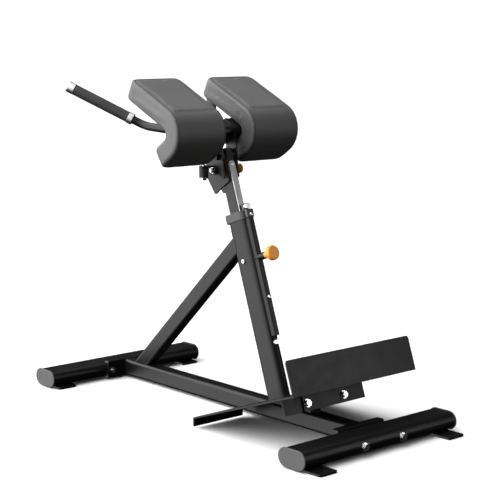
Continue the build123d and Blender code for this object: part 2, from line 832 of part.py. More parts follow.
# ================================================================ pull pins
def pull_pin(prefix, seat, axis, side, tip_depth, body_length, knob_diameter, wall_pass, travel):
    """Spring plunger: housing, pin with collar, spring and knob along one axis.

    The seat is where the housing leaves the plate or post; wall_pass is how far the
    housing reaches back through that wall, and tip_depth how far the pin does.
    """
    axis = Vector(*axis)
    start = seat - axis * wall_pass
    chamber_from = housing_floor
    chamber_to = body_length + wall_pass - housing_cap
    with BuildPart() as housing:
        with BuildSketch(Plane(start, x_dir=side, z_dir=axis)):
            Circle(housing_d / 2)
            Circle(pin_d / 2 + pin_fit, mode=Mode.SUBTRACT)
        extrude(amount=body_length + wall_pass)
        with BuildSketch(Plane(start + axis * chamber_from, x_dir=side, z_dir=axis)):
            Circle(spring_chamber_d / 2)
        extrude(amount=chamber_to - chamber_from, mode=Mode.SUBTRACT)
    save(housing, prefix + "_pin_housing")
    pin_end = body_length + knob_gap + knob_bore
    with BuildPart() as pin:
        with BuildSketch(Plane(seat - axis * tip_depth, x_dir=side, z_dir=axis)):
            Circle(pin_d / 2)
        extrude(amount=tip_depth + pin_end)
        with BuildSketch(Plane(start + axis * (chamber_from + 0.3), x_dir=side, z_dir=axis)):
            Circle(spring_chamber_d / 2 - 0.5)
        extrude(amount=pin_collar_h)
    save(pin, prefix + "_pin")
    knob_base = seat + axis * (body_length + knob_gap)
    profile_plane = Plane(knob_base, x_dir=side, z_dir=Vector(*side).cross(axis))
    with BuildPart() as knob:
        with BuildSketch(profile_plane):
            with BuildLine():
                neck = Line((0, 0), (knob_neck_d / 2, 0))
                shank = Line(neck @ 1, (knob_neck_d / 2, knob_length * 0.16))
                flare = TangentArc(
                    shank @ 1, (knob_diameter / 2, knob_length * 0.62), tangent=(0, 1)
                )
                rim = Line(flare @ 1, (knob_diameter / 2, knob_length - knob_face_r))
                crown = TangentArc(
                    rim @ 1, (knob_diameter / 2 - knob_face_r, knob_length), tangent=(0, 1)
                )
                face = Line(crown @ 1, (0, knob_length))
                Line(face @ 1, (0, 0))
            make_face()
        revolve(axis=Axis(knob_base, axis))
        with BuildSketch(Plane(knob_base, x_dir=side, z_dir=axis)):
            Circle(pin_d / 2)
        extrude(amount=knob_bore, mode=Mode.SUBTRACT)
    save(knob, prefix + "_knob")
    spring_radius = (spring_outer_d - spring_wire) / 2
    spring_length = chamber_to - chamber_from - pin_collar_h - travel - spring_wire - 0.9
    spring_start = start + axis * (chamber_to - spring_length - spring_wire / 2 - 0.3)
    turns = max(2, round(spring_length / (1.8 * spring_wire)))
    with BuildPart() as spring:
        with BuildLine() as coil:
            Helix(
                spring_length / turns,
                spring_length,
                spring_radius,
                center=spring_start,
                direction=axis,
            )
        with BuildSketch(Plane(coil.line @ 0, z_dir=coil.line % 0)):
            Circle(spring_wire / 2)
        sweep()
    save(spring, prefix + "_pin_spring")


pull_pin(
    "height",
    at_post(post_rear_u, 0, pin_v),
    u_axis,
    (0, 1, 0),
    post_rear_u - strip_rear_u - pin_head_gap,
    housing_out - post_rear_u,
    knob_d,
    post_wall - 0.5,
    pin_travel,
)
pull_pin(
    "tilt",
    Vector(tilt_pin_xz[0], carriage_outer_y, tilt_pin_xz[1]),
    (0, 1, 0),
    (1, 0, 0),
    carriage_outer_y - sector_outer_y - pin_head_gap,
    tilt_housing_length,
    tilt_knob_d,
    carriage_outer_y - sector_outer_y - 1,
    tilt_pin_travel,
)


# ================================================================ pads and their straps
def leg_points(radius, leg, degrees, upper):
    """Tangent point on a circle about the pad centre and the far end of the leg from it."""
    a = math.radians(degrees)
    turn = 1 if upper else -1
    away = (math.sin(a), turn * math.cos(a))
    along = (-math.cos(a), turn * math.sin(a))
    tangent_point = (pad_x + radius * away[0], pad_z + radius * away[1])
    return tangent_point, (tangent_point[0] + leg * along[0], tangent_point[1] + leg * along[1])


def bent_slab(inner_r, outer_r, upper_leg, lower_leg):
    """Slab bent round the cross bar: two straight legs joined by a ring sector."""
    upper_in, upper_in_end = leg_points(inner_r, upper_leg, pad_upper_deg, True)
    lower_in, lower_in_end = leg_points(inner_r, lower_leg, pad_lower_deg, False)
    upper_out, upper_out_end = leg_points(outer_r, upper_leg, pad_upper_deg, True)
    lower_out, lower_out_end = leg_points(outer_r, lower_leg, pad_lower_deg, False)
    with BuildLine() as outline:
        Line(upper_in_end, upper_in)
        ThreePointArc(upper_in, (pad_x + inner_r, pad_z), lower_in)
        Line(lower_in, lower_in_end)
        Line(lower_in_end, lower_out_end)
        Line(lower_out_end, lower_out)
        ThreePointArc(lower_out, (pad_x + outer_r, pad_z), upper_out)
        Line(upper_out, upper_out_end)
        Line(upper_out_end, upper_in_end)
    make_face(outline.edges())


def pad(name, side):
    """Upholstered pad, bent over the cross bar, with soft rounded edges."""
    outer_r = pad_inner_radius + pad_thickness
    start_y = pad_outer_y if side > 0 else -pad_inner_y
    with BuildPart() as cushion:
        with BuildSketch(side_sketch_plane(start_y)):
            bent_slab(pad_inner_radius, outer_r, pad_upper_leg, pad_lower_leg)
        extrude(amount=pad_outer_y - pad_inner_y)
        across = cushion.edges().filter_by(Axis.Y)
        upper_end = across.sort_by(Axis.X)[:2]
        lower_end = across.sort_by(Axis.Z)[:2]
        fillet(upper_end + lower_end, pad_edge)
        rims = cushion.faces().filter_by(Axis.Y).edges()
        fillet(rims, pad_edge)
    save(cushion, name)


pad("left_pad", -1)
pad("right_pad", 1)

with BuildPart() as pad_straps:
    with BuildSketch(side_sketch_plane(strap_outer_y)):
        bent_slab(
            handle_tube_d / 2,
            handle_tube_d / 2 + strap_thickness,
            strap_upper_leg,
            strap_lower_leg,
        )
    extrude(amount=strap_outer_y - strap_inner_y)
    mirror(about=Plane.XZ)
save(pad_straps, "pad_straps")

with BuildPart() as pad_bolts:
    seat_r = handle_tube_d / 2
    for leg, degrees, upper in (
        (strap_upper_leg - 25, pad_upper_deg, True),
        (strap_upper_leg - 85, pad_upper_deg, True),
        (strap_lower_leg - 12, pad_lower_deg, False),
    ):
        tangent_point, spot = leg_points(seat_r, leg, degrees, upper)
        turn = 1 if upper else -1
        outward = (-math.sin(math.radians(degrees)), 0, -turn * math.cos(math.radians(degrees)))
        for side in (1, -1):
            seat = Vector(spot[0], side * (strap_inner_y + 60), spot[1])
            with BuildSketch(Plane(seat, x_dir=(0, 1, 0), z_dir=outward)):
                hexagon(pad_bolt_af)
            extrude(amount=pad_bolt_h)
save(pad_bolts, "pad_bolts")

spacer_bottom_z = spacer_top_z - spacer_tab_t - spacer_length
with BuildPart() as side_stop_tab:
    with BuildSketch(Plane.XY.offset(spacer_top_z - spacer_tab_t)):
        with Locations((spacer_x, -(carriage_outer_y + spacer_y) / 2)):
            Rectangle(spacer_d, spacer_y - carriage_outer_y)
        with Locations((spacer_x, -spacer_y)):
            Circle(spacer_d / 2)
            Circle(spacer_bolt_d / 2, mode=Mode.SUBTRACT)
    extrude(amount=spacer_tab_t)
save(side_stop_tab, "side_stop_tab")

with BuildPart() as side_stop_sleeve:
    with BuildSketch(Plane.XY.offset(spacer_bottom_z)):
        with Locations((spacer_x, -spacer_y)):
            Circle(spacer_d / 2)
            Circle(spacer_bolt_d / 2, mode=Mode.SUBTRACT)
    extrude(amount=spacer_length)
save(side_stop_sleeve, "side_stop_sleeve")

with BuildPart() as side_stop_bolt:
    with BuildSketch(Plane.XY.offset(spacer_bottom_z)):
        with Locations((spacer_x, -spacer_y)):
            Circle(spacer_d / 2 - 2)
    extrude(amount=-2)
    with BuildSketch(Plane.XY.offset(spacer_bottom_z - 2)):
        with Locations((spacer_x, -spacer_y)):
            hexagon(guide_head_af)
    extrude(amount=-guide_head_h)
    with BuildSketch(Plane.XY.offset(spacer_bottom_z)):
        with Locations((spacer_x, -spacer_y)):
            Circle(spacer_bolt_d / 2)
    extrude(amount=spacer_length + spacer_tab_t + 3)
save(side_stop_bolt, "side_stop_bolt")

# ================================================================ handle bar
knee_x, knee_z = handle_knee
tip_x, tip_y, tip_z = handle_tip
grip_axis = Vector(tip_x - knee_x, tip_y - handle_arm_y, tip_z - knee_z).normalized()
tip_point = Vector(tip_x, tip_y, tip_z)
tube_end = tip_point - grip_axis * tube_set_back


def mirrored(point):
    """The same point on the other side of the machine."""
    return Vector(point.X, -point.Y, point.Z)


with BuildPart() as handle_bar:
    knee = Vector(knee_x, handle_arm_y, knee_z)
    corner = Vector(pad_x, handle_arm_y, pad_z)
    with BuildLine() as route:
        FilletPolyline(
            tube_end,
            knee,
            corner,
            mirrored(corner),
            mirrored(knee),
            mirrored(tube_end),
            radius=(
                handle_knee_radius,
                handle_corner_radius,
                handle_corner_radius,
                handle_knee_radius,
            ),
        )
    with BuildSketch(Plane(tube_end, z_dir=-grip_axis)):
        Circle(handle_tube_d / 2)
        Circle(handle_tube_d / 2 - handle_wall, mode=Mode.SUBTRACT)
    sweep(path=route.line)
save(handle_bar, "handle_bar")


grip_start = end_cap_length + grip_length
ring_start = grip_start + ring_length


def grip_plane(start):
    """Plane across the right-hand grip, a distance behind its tip, facing the tip."""
    return Plane(tip_point - grip_axis * start, z_dir=grip_axis)


with BuildPart() as grip_rings:
    with BuildSketch(grip_plane(ring_start)):
        Circle(ring_d / 2)
        Circle(handle_tube_d / 2, mode=Mode.SUBTRACT)
    extrude(amount=ring_length)
    mirror(about=Plane.XZ)
save(grip_rings, "grip_rings")

with BuildPart() as grips:
    with BuildSketch(grip_plane(grip_start)):
        Circle(grip_d / 2)
        Circle(handle_tube_d / 2, mode=Mode.SUBTRACT)
    extrude(amount=grip_length)
    mirror(about=Plane.XZ)
save(grips, "grips")

with BuildPart() as grip_end_caps:
    with BuildSketch(grip_plane(end_cap_length)):
        Circle(end_cap_d / 2)
    extrude(amount=end_cap_length)
    fillet(grip_end_caps.faces().sort_by(Axis((0, 0, 0), grip_axis))[-1].edges(), 4)
    with BuildSketch(grip_plane(end_cap_length)):
        Circle(handle_tube_d / 2)
    extrude(amount=end_cap_length - tube_set_back, mode=Mode.SUBTRACT)
    mirror(about=Plane.XZ)
save(grip_end_caps, "grip_end_caps")

# ================================================================ foot plate and its support
with BuildPart() as foot_plate:
    down = (-math.sin(lean), -math.cos(lean))
    level = (math.cos(lean), -math.sin(lean))
    front_top = (plate_front_u, plate_top_v)
    lip_low = (front_top[0] + lip_drop * down[0], front_top[1] + lip_drop * down[1])
    lip_low_in = (
        lip_low[0] + plate_thickness * level[0],
        lip_low[1] + plate_thickness * level[1],
    )
    with BuildSketch(uv_plane(0)):
        with BuildLine():
            Polyline(
                (plate_rear_u - plate_thickness, plate_top_v),
                front_top,
                lip_low,
                lip_low_in,
                (plate_front_u + plate_thickness, plate_under_v),
                (plate_rear_u - plate_thickness, plate_under_v),
                close=True,
            )
        make_face()
    extrude(amount=plate_half_y, both=True)
    fillet(foot_plate.edges().filter_by(Axis.Y).sort_by(Axis.X)[:2], plate_thickness * 0.9)
    notch_to_u = (beam_top_z - plate_under_v * math.cos(lean)) / math.sin(lean)
    with BuildSketch(post_plane.offset(-60)):
        with Locations(((plate_front_u + notch_to_u) / 2 - 20, 0)):
            Rectangle(notch_to_u - plate_front_u + 40, beam_width + 2 * beam_clearance)
        with Locations((plate_front_u - 15, 0)):
            Rectangle(2 * 18, 2 * lip_inner_y)
    extrude(amount=120, mode=Mode.SUBTRACT)
    with BuildSketch(post_plane.offset(-60)):
        post_slot(0)
    extrude(amount=120, mode=Mode.SUBTRACT)
save(foot_plate, "foot_plate")

with BuildPart() as heel_plate:
    with BuildSketch(Plane(at_post(plate_rear_u, 0, 0), x_dir=(0, 1, 0), z_dir=u_axis)):
        with Locations((0, plate_under_v + (heel_height + plate_thickness) / 2)):
            Rectangle(2 * plate_half_y, heel_height + plate_thickness)
    extrude(amount=-plate_thickness)
    top_corners = heel_plate.edges().filter_by(Axis((0, 0, 0), u_axis)).group_by(Axis.Z)[-1]
    fillet(top_corners, plate_corner)
save(heel_plate, "heel_plate")

bracket_low_v = plate_under_v - bracket_drop
bracket_low_z = (bracket_u * math.sin(lean)) + bracket_low_v * math.cos(lean)
gusset_front_u = (bracket_low_z - plate_under_v * math.cos(lean)) / math.sin(lean)
with BuildPart() as support_bracket:
    with BuildSketch(post_plane.offset(plate_under_v)):
        with Locations((bracket_u + bracket_thickness / 2, 0)):
            Rectangle(bracket_thickness, 2 * bracket_half_y)
    extrude(amount=-bracket_drop)
    with BuildSketch(uv_plane(bracket_half_y)):
        with BuildLine():
            Polyline(
                (bracket_u, plate_under_v),
                (bracket_u, bracket_low_v),
                (gusset_front_u, plate_under_v),
                close=True,
            )
        make_face()
    extrude(amount=bracket_thickness)
    with BuildSketch(uv_plane(-bracket_half_y + bracket_thickness)):
        with BuildLine():
            Polyline(
                (bracket_u, plate_under_v),
                (bracket_u, bracket_low_v),
                (gusset_front_u, plate_under_v),
                close=True,
            )
        make_face()
    extrude(amount=bracket_thickness)
    with BuildSketch(Plane(at_post(bracket_u, 0, plate_bolt_v), x_dir=(0, 1, 0), z_dir=u_axis)):
        with Locations((plate_bolt_y, 0), (-plate_bolt_y, 0)):
            Circle(plate_bolt_d / 2 + bolt_clearance)
    extrude(amount=bracket_thickness, mode=Mode.SUBTRACT)
save(support_bracket, "support_bracket")

with BuildPart() as plate_wings:
    with BuildSketch(post_plane.offset(plate_under_v)):
        with Locations((bracket_u - bracket_thickness / 2, (bracket_half_y + wing_outer_y) / 2)):
            Rectangle(bracket_thickness, wing_outer_y - bracket_half_y)
    extrude(amount=-bracket_drop)
    mirror(about=Plane.XZ)
save(plate_wings, "plate_wings")

crosshead_front_u = bracket_u - crosshead_thickness
with BuildPart() as pedestal:
    with BuildSketch(Plane.XZ):
        shelf_top = at_post(crosshead_front_u, 0, plate_under_v)
        shelf_low = at_post(crosshead_front_u, 0, bracket_low_v + 6)
        front_top_z = pedestal_front_x * math.tan(lean) + plate_under_v / math.cos(lean)
        with BuildLine():
            Polyline(
                (pedestal_front_x, beam_top_z),
                (pedestal_rear_x, beam_top_z),
                (pedestal_rear_x, pedestal_shelf_z),
                (shelf_low.X, shelf_low.Z),
                (shelf_top.X, shelf_top.Z),
                (pedestal_front_x, front_top_z),
                close=True,
            )
        make_face()
    extrude(amount=pedestal_half_y, both=True)
    with BuildSketch(post_plane.offset(plate_under_v)):
        with Locations((bracket_u - crosshead_thickness / 2, 0)):
            Rectangle(crosshead_thickness, 2 * (bracket_half_y - bracket_thickness))
    extrude(amount=-bracket_drop + 6)
    with BuildSketch(Plane(at_post(bracket_u, 0, plate_bolt_v), x_dir=(0, 1, 0), z_dir=u_axis)):
        with Locations((plate_bolt_y, 0), (-plate_bolt_y, 0)):
            Circle(plate_bolt_d / 2 + bolt_clearance)
    extrude(amount=-crosshead_thickness, mode=Mode.SUBTRACT)
save(pedestal, "pedestal")

with BuildPart() as plate_bolts:
    seat_u = bracket_u + bracket_thickness
    spots = ((plate_bolt_y, 0), (-plate_bolt_y, 0))
    with BuildSketch(Plane(at_post(seat_u, 0, plate_bolt_v), x_dir=(0, 1, 0), z_dir=u_axis)):
        with Locations(*spots):
            Circle(plate_washer_d / 2)
    extrude(amount=2)
    with BuildSketch(Plane(at_post(seat_u + 2, 0, plate_bolt_v), x_dir=(0, 1, 0), z_dir=u_axis)):
        with Locations(*spots):
            hexagon(rail_bolt_head_af)
    extrude(amount=rail_bolt_head_h)
    with BuildSketch(Plane(at_post(seat_u, 0, plate_bolt_v), x_dir=(0, 1, 0), z_dir=u_axis)):
        with Locations(*spots):
            Circle(plate_bolt_d / 2)
    extrude(amount=-(bracket_thickness + crosshead_thickness + 12))
save(plate_bolts, "plate_bolts")

with BuildPart() as plate_nuts:
    with BuildSketch(
        Plane(at_post(crosshead_front_u, 0, plate_bolt_v), x_dir=(0, 1, 0), z_dir=u_axis)
    ):
        for spot in spots:
            with Locations(spot):
                hexagon(rail_bolt_head_af)
                Circle(plate_bolt_d / 2, mode=Mode.SUBTRACT)
    extrude(amount=-8)
save(plate_nuts, "plate_nuts")
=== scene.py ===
import json
import math

import bmesh
import bpy
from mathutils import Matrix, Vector
from mathutils.bvhtree import BVHTree


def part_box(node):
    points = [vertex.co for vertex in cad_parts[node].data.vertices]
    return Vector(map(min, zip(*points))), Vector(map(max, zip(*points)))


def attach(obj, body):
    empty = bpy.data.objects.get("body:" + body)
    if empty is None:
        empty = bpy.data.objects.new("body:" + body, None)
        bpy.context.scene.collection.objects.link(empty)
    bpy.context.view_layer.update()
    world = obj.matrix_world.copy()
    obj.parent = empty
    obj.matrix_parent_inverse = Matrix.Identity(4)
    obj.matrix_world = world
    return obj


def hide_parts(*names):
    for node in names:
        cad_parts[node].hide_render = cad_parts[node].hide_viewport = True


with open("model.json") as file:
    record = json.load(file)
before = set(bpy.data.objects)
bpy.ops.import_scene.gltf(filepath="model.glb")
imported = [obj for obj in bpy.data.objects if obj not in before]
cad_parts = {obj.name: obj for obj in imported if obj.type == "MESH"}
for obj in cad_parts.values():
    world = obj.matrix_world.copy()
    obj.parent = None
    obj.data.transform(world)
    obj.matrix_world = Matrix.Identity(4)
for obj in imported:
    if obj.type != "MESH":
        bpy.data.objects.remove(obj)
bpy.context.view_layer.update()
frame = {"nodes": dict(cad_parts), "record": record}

NODES = frame["nodes"]
scene = bpy.context.scene
JOINTS = {joint["name"]: joint for joint in frame["record"]["behaviour"]["joints"]}

# Places in the leaning post's own directions, measured from the seat of the height pin.
post_seat = Vector(JOINTS["height_pin_pull"]["pos_m"])
out_of_post = Vector(JOINTS["height_pin_pull"]["axis"])
up_post = Vector(JOINTS["mast_slide"]["axis"])

# Side view of the pads: two legs bent round the cross bar.
CROSS_BAR_R = 0.0127
CARRIAGE_TOP_R = 0.020
PAD_INNER_R = 0.018
PAD_OUTER_R = 0.0765
PAD_UPPER_ANGLE = math.radians(25.3)
PAD_LOWER_ANGLE = math.radians(34.0)
PAD_UPPER_LEG = 0.203
PAD_LOWER_LEG = 0.0625
PAD_CORNER_R = 0.028
PAD_RIM_R = 0.005
PAD_BACK_DEPTH = 0.006
bar_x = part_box("handle_bar")[1][0] - CROSS_BAR_R
bar_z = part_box("near_carriage_plate")[1][2] - CARRIAGE_TOP_R
upper_normal = Vector((math.sin(PAD_UPPER_ANGLE), math.cos(PAD_UPPER_ANGLE)))
upper_along = Vector((-math.cos(PAD_UPPER_ANGLE), math.sin(PAD_UPPER_ANGLE)))
lower_normal = Vector((math.sin(PAD_LOWER_ANGLE), -math.cos(PAD_LOWER_ANGLE)))
lower_along = Vector((-math.cos(PAD_LOWER_ANGLE), -math.sin(PAD_LOWER_ANGLE)))
bend_start = math.pi / 2 - PAD_UPPER_ANGLE
bend_end = PAD_LOWER_ANGLE - math.pi / 2


def post_point(outwards, sideways, upwards):
    """Point given outwards from the post's rear face, sideways and up from the height pin."""
    return post_seat + out_of_post * outwards + up_post * upwards + Vector((0, sideways, 0))


# ------------------------------------------------------------------ node material helpers
# Sockets of Blender's Mix node, by number because their names repeat.
MIX_FACTOR = 0
MIX_FLOAT_A, MIX_FLOAT_B, MIX_FLOAT_OUT = 2, 3, 0
MIX_COLOUR_A, MIX_COLOUR_B, MIX_COLOUR_OUT = 6, 7, 2
EDGE_SAMPLES = 4


class Graph:
    """Small wrapper that adds and links shader nodes of one material."""

    def __init__(self, name):
        self.material = bpy.data.materials.new(name)
        self.material.use_nodes = True
        self.tree = self.material.node_tree
        self.shader = self.tree.nodes["Principled BSDF"]
        self.coords = self.tree.nodes.new("ShaderNodeTexCoord").outputs["Object"]

    def add(self, kind, **attributes):
        """Adds a node and sets its attributes."""
        node = self.tree.nodes.new(kind)
        for key, value in attributes.items():
            setattr(node, key, value)
        return node

    def feed(self, node, socket, value):
        """Sets an input, or links it where value is an output socket."""
        if isinstance(value, bpy.types.NodeSocket):
            self.tree.links.new(value, node.inputs[socket])
        else:
            node.inputs[socket].default_value = value

    def noise(self, scale, detail=3.0, roughness=0.5, vector=None):
        """Noise factor over the object's coordinates, or over another vector."""
        node = self.add("ShaderNodeTexNoise")
        self.feed(node, "Scale", scale)
        self.feed(node, "Detail", detail)
        self.feed(node, "Roughness", roughness)
        self.feed(node, "Vector", vector or self.coords)
        return node.outputs["Fac"]

    def stretched(self, factors):
        """Object coordinates multiplied per axis."""
        node = self.add("ShaderNodeMapping")
        self.feed(node, "Vector", self.coords)
        node.inputs["Scale"].default_value = factors
        return node.outputs["Vector"]

    def ramp(self, factor, stops):
        """Colour ramp over a factor; stops are (position, colour or grey)."""
        node = self.add("ShaderNodeValToRGB")
        self.feed(node, "Fac", factor)
        elements = node.color_ramp.elements
        while len(elements) < len(stops):
            elements.new(0.5)
        for element, (position, colour) in zip(elements, stops):
            element.position = position
            if isinstance(colour, (int, float)):
                colour = (colour, colour, colour)
            element.color = (*colour, 1.0)
        return node.outputs["Color"]

    def mix(self, factor, first, second):
        """Blends two colours."""
        node = self.add("ShaderNodeMix", data_type="RGBA")
        self.feed(node, MIX_FACTOR, factor)
        for index, value in ((MIX_COLOUR_A, first), (MIX_COLOUR_B, second)):
            if not isinstance(value, bpy.types.NodeSocket):
                value = (*value, 1.0)
            self.feed(node, index, value)
        return node.outputs[MIX_COLOUR_OUT]

    def maths(self, operation, first, second=0.0):
        """One arithmetic step; SINE and ABSOLUTE use only the first value."""
        node = self.add("ShaderNodeMath", operation=operation)
        self.feed(node, 0, first)
        self.feed(node, 1, second)
        return node.outputs[0]

    def edges(self, radius):
        """Factor above 0 near edges, from how far rounding turns the normal, and that normal."""
        bevel = self.add("ShaderNodeBevel", samples=EDGE_SAMPLES)
        self.feed(bevel, "Radius", radius)
        geometry = self.add("ShaderNodeNewGeometry")
        dot = self.add("ShaderNodeVectorMath", operation="DOT_PRODUCT")
        self.feed(dot, 0, bevel.outputs[0])
        self.feed(dot, 1, geometry.outputs["Normal"])
        return self.maths("SUBTRACT", 1.0, dot.outputs["Value"]), bevel.outputs[0]

    def bump(self, height, strength, distance, normal=None):
        """Normal disturbed by a height, on top of another normal where one is given."""
        node = self.add("ShaderNodeBump")
        self.feed(node, "Height", height)
        self.feed(node, "Strength", strength)
        self.feed(node, "Distance", distance)
        if normal is not None:
            self.feed(node, "Normal", normal)
        return node.outputs["Normal"]

    def finish(self, colour=None, roughness=None, normal=None, **sockets):
        """Links the shader's main inputs; the rest are uniform values set on the shader."""
        for socket, value in (("Base Color", colour), ("Roughness", roughness), ("Normal", normal)):
            if value is not None:
                self.feed(self.shader, socket, value)
        for key, value in sockets.items():
            self.shader.inputs[key.replace("_", " ")].default_value = value
        return self.material


# Direction of the grips, mirrored in Y for the second one, and the pitch of their rings.
GRIP_AXIS = (-0.674, 0.5892, 0.4456)
GRIP_RIB_PITCH = 0.0042


def powder_coat(name, grey, roughness, worn_edges=0.35):
    """Satin black powder coat: fine orange peel, faint dust and slightly rubbed edges."""
    g = Graph(name)
    broad = g.noise(9.0, 2.0)
    fine = g.noise(1400.0, 2.0, 0.6)
    edge, rounded = g.edges(0.0011)
    base = g.ramp(broad, [(0.3, grey * 0.85), (0.7, grey * 1.15)])
    rubbed = g.maths("MULTIPLY", g.ramp(edge, [(0.02, 0.0), (0.16, 1.0)]), g.noise(60.0, 4.0, 0.7))
    wear = g.maths("MULTIPLY", rubbed, worn_edges)
    colour = g.mix(wear, base, (grey * 3.2, grey * 3.2, grey * 3.3))
    rough = g.ramp(g.noise(22.0, 4.0, 0.6), [(0.25, roughness - 0.04), (0.75, roughness + 0.05)])
    return g.finish(
        colour, rough, g.bump(fine, 0.12, 0.0002, rounded), IOR=1.5, Specular_IOR_Level=0.3
    )


def moulded_plastic(name, colour_rgb, roughness, grain=0.25):
    """Moulded plastic with a spark-eroded grain and a painted highlight lightening every edge."""
    g = Graph(name)
    fine = g.noise(900.0, 3.0, 0.65)
    edge, rounded = g.edges(0.0012)
    dark = tuple(c * 0.85 for c in colour_rgb)
    light = tuple(min(1.0, c * 1.12 + 0.01) for c in colour_rgb)
    base = g.mix(g.noise(14.0, 3.0), dark, light)
    # Painted highlight: every edge is lightened evenly, in place of light catching the rounded edges.
    painted_edge_highlight = g.maths("MULTIPLY", g.ramp(edge, [(0.03, 0.0), (0.2, 1.0)]), 0.35)
    colour = g.mix(painted_edge_highlight, base, tuple(min(1.0, c * 1.6 + 0.02) for c in colour_rgb))
    rough = g.ramp(g.noise(35.0, 3.0), [(0.3, roughness - 0.05), (0.7, roughness + 0.06)])
    return g.finish(colour, rough, g.bump(fine, grain, 0.0002, rounded), IOR=1.46)


def plated_steel(name, grey, roughness):
    """Bright plated steel with faint turning marks and tarnish."""
    g = Graph(name)
    cloud = g.noise(70.0, 4.0, 0.6)
    fine = g.noise(900.0, 2.0)
    edge, rounded = g.edges(0.0006)
    colour = g.ramp(cloud, [(0.3, (grey * 0.86, grey * 0.86, grey * 0.88)), (0.65, (grey, grey, grey))])
    rough = g.ramp(cloud, [(0.3, roughness + 0.08), (0.7, roughness)])
    return g.finish(colour, rough, g.bump(fine, 0.05, 0.0001, rounded), Metallic=1.0)


def ground_steel(name):
    """Bare wear strip with long fine grinding lines."""
    g = Graph(name)
    lines = g.noise(60.0, 5.0, 0.7, g.stretched((9.0, 9.0, 0.5)))
    smudge = g.noise(18.0, 3.0)
    colour = g.ramp(lines, [(0.3, 0.42), (0.7, 0.62)])
    colour = g.mix(g.maths("MULTIPLY", smudge, 0.25), colour, (0.36, 0.36, 0.37))
    rough = g.ramp(smudge, [(0.3, 0.34), (0.7, 0.48)])
    return g.finish(colour, rough, g.bump(lines, 0.08, 0.0002), Metallic=1.0, Anisotropic=0.4)


def soft_rubber(name, grey, roughness):
    """Matt rubber with a fine stipple."""
    g = Graph(name)
    stipple = g.noise(1100.0, 3.0, 0.7)
    edge, rounded = g.edges(0.0008)
    colour = g.ramp(g.noise(25.0, 4.0), [(0.3, grey * 0.8), (0.7, grey * 1.3)])
    rough = g.ramp(g.noise(50.0, 3.0), [(0.3, roughness - 0.05), (0.7, roughness + 0.05)])
    return g.finish(colour, rough, g.bump(stipple, 0.35, 0.0003, rounded), IOR=1.5)


def ribbed_rubber(name, grey):
    """Grip rubber with fine rings round the handle's slanting axis."""
    g = Graph(name)
    place = g.add("ShaderNodeSeparateXYZ")
    g.feed(place, 0, g.coords)
    sideways = g.maths("ABSOLUTE", place.outputs["Y"])
    along = g.maths("MULTIPLY", place.outputs["X"], GRIP_AXIS[0])
    along = g.maths("ADD", along, g.maths("MULTIPLY", sideways, GRIP_AXIS[1]))
    along = g.maths("ADD", along, g.maths("MULTIPLY", place.outputs["Z"], GRIP_AXIS[2]))
    rings = g.maths("SINE", g.maths("MULTIPLY", along, 2 * math.pi / GRIP_RIB_PITCH))
    stipple = g.noise(1100.0, 3.0, 0.7)
    height = g.maths("ADD", rings, g.maths("MULTIPLY", stipple, 0.8))
    colour = g.ramp(g.noise(25.0, 4.0), [(0.3, grey * 0.8), (0.7, grey * 1.4)])
    rough = g.ramp(stipple, [(0.3, 0.5), (0.7, 0.62)])
    return g.finish(colour, rough, g.bump(height, 0.5, 0.0004), IOR=1.5)


def upholstery(name, grey):
    """Upholstery vinyl: pebbled grain, faint creases and a slight change of tone."""
    g = Graph(name)
    cells = g.add("ShaderNodeTexVoronoi", feature="SMOOTH_F1")
    g.feed(cells, "Scale", 620.0)
    g.feed(cells, "Vector", g.coords)
    pores = g.noise(1500.0, 2.0)
    creases = g.noise(38.0, 5.0, 0.6)
    tone = g.noise(7.0, 3.0)
    pebble = g.maths("ADD", cells.outputs["Distance"], g.maths("MULTIPLY", pores, 0.25))
    height = g.maths("ADD", pebble, g.maths("MULTIPLY", creases, 0.35))
    base = g.ramp(tone, [(0.3, grey * 0.9), (0.7, grey * 1.12)])
    colour = g.mix(g.maths("MULTIPLY", cells.outputs["Distance"], 0.35), base, (grey * 1.5,) * 3)
    rough = g.ramp(creases, [(0.3, 0.44), (0.7, 0.54)])
    return g.finish(
        colour, rough, g.bump(height, 0.22, 0.0005), IOR=1.46, Sheen_Weight=0.06, Sheen_Roughness=0.4
    )


MATERIALS = {
    "frame": powder_coat("satin_black_powder_coat", 0.005, 0.34),
    "mast": powder_coat("mast_black_coat", 0.014, 0.42),
    "cap": moulded_plastic("end_cap_plastic", (0.05, 0.05, 0.052), 0.42),
    "guide": moulded_plastic("guide_plastic", (0.03, 0.03, 0.031), 0.26, 0.12),
    "orange": moulded_plastic("orange_plastic", (0.86, 0.33, 0.03), 0.3, 0.1),
    "chrome": plated_steel("bright_plated_steel", 0.78, 0.16),
    "bright": plated_steel("satin_chrome", 0.82, 0.24),
    "strip": ground_steel("ground_steel_strip"),
    "rubber": soft_rubber("black_rubber", 0.014, 0.62),
    "grip": ribbed_rubber("ribbed_black_grip", 0.016),
    "vinyl": upholstery("dark_grey_vinyl", 0.075),
    "thread": soft_rubber("dark_seam_piping", 0.008, 0.5),
}
NODE_LOOKS = {
    "cap": ("foot_end_caps", "mast_glide", "mast_top_plug"),
    "guide": ("upper_guide_bush", "lower_guide_bush"),
    "orange": ("height_knob", "tilt_knob"),
    "strip": ("mast_strip",),
    "mast": ("mast_tube",),
    "rubber": ("rubber_foot_pads", "side_stop_sleeve"),
    "grip": ("grips",),
    "vinyl": ("left_pad", "right_pad"),
    "bright": ("grip_rings", "grip_end_caps"),
    "chrome": (
        "foot_bolts", "foot_washers", "foot_nuts", "rail_bolts", "guide_screws", "rail_screws",
        "plate_bolts", "plate_nuts", "tilt_guide_bolt", "side_stop_bolt", "pad_bolts",
        "height_pin", "tilt_pin", "height_pin_spring", "tilt_pin_spring", "pivot_bush",
        "pivot_spacers", "strip_rivet",
    ),
}


def dress(obj, look):
    """Gives an object one look in place of what it has."""
    obj.data.materials.clear()
    obj.data.materials.append(MATERIALS[look])


